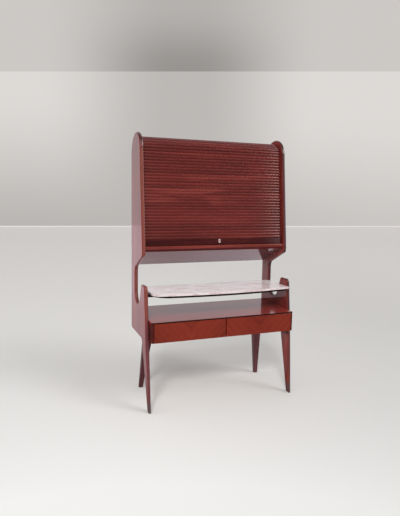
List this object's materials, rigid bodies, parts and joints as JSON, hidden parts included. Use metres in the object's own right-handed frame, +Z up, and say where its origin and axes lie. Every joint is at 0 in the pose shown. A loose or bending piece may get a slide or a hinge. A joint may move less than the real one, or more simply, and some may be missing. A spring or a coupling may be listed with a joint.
{
  "type": "tambour desk",
  "caption": "Tall tambour-front cabinet over a marble shelf and a drawer case, carried by two shaped one-piece side panels with tapered legs.",
  "frame": {"origin": "on the floor, under the centre of the desk's bounding box", "axes": "+Z up, -Y is the front with the shutter and the drawers, +X to the right seen from the front"},
  "size_m": [1, 0.443, 1.693],
  "materials": {
    "panel_wood": "polished mahogany",
    "tambour_wood": "polished mahogany",
    "rail_wood": "polished rosewood",
    "cabinet_wood": "polished mahogany",
    "case_veneer": "polished figured veneer",
    "inner_wood": "plain satin wood",
    "drawer_wood": "plain waxed wood",
    "black_board": "ebonised",
    "marble": "polished marble",
    "brass": "aged brass",
    "steel": "plain",
    "canvas": "woven"
  },
  "bodies": {
    "desk": {"back_battens": "inner_wood", "back_screws": "steel", "board_dowels": "inner_wood", "cabinet_back": "inner_wood", "cabinet_ceiling": "inner_wood", "cabinet_dowels": "inner_wood", "cabinet_floor": "inner_wood", "cabinet_inner_back": "inner_wood", "cabinet_nosing": "cabinet_wood", "cabinet_soffit": "cabinet_wood", "canvas_crown": "canvas", "canvas_front": "canvas", "case_back": "inner_wood", "case_divider": "inner_wood", "case_floor": "inner_wood", "case_screws": "steel", "case_side_left": "case_veneer", "case_side_right": "case_veneer", "case_top": "case_veneer", "drawer_kickers": "inner_wood", "drawer_runners": "inner_wood", "inner_shelf": "inner_wood", "leg_blocks": "panel_wood", "leg_gussets": "panel_wood", "leg_studs": "steel", "marble_board": "black_board", "marble_shelf": "marble", "rear_leg_left": "panel_wood", "rear_leg_right": "panel_wood", "shelf_pins": "brass", "side_panel_left": "panel_wood", "side_panel_right": "panel_wood", "strike_plate": "brass", "strike_screws": "brass", "tambour_crown": "tambour_wood", "tambour_front": "tambour_wood"},
    "shutter": {"lock_rail": "rail_wood", "lock_case": "steel", "lock_screws": "steel", "escutcheon": "brass", "escutcheon_pins": "brass"},
    "bolt": {"lock_bolt": "steel"},
    "drawer_left": {"drawer_left_back": "drawer_wood", "drawer_left_floor": "drawer_wood", "drawer_left_front": "case_veneer", "drawer_left_inner_side": "drawer_wood", "drawer_left_outer_side": "drawer_wood"},
    "drawer_right": {"drawer_right_back": "drawer_wood", "drawer_right_floor": "drawer_wood", "drawer_right_front": "case_veneer", "drawer_right_inner_side": "drawer_wood", "drawer_right_outer_side": "drawer_wood"}
  },
  "joints": [
    {"name": "shutter_slide", "type": "slide", "parent": "desk", "child": "shutter", "axis": [0, 0.1016, 0.9948], "range_m": [0, 0.5264], "deforming": ["tambour_front", "canvas_front"]},
    {"name": "bolt_slide", "type": "slide", "parent": "shutter", "child": "bolt", "axis": [0, -0.1016, -0.9948], "range_m": [0, 0.008]},
    {"name": "drawer_left_slide", "type": "slide", "parent": "desk", "child": "drawer_left", "axis": [0, -1, 0], "range_m": [0, 0.3]},
    {"name": "drawer_right_slide", "type": "slide", "parent": "desk", "child": "drawer_right", "axis": [0, -1, 0], "range_m": [0, 0.3]}
  ]
}
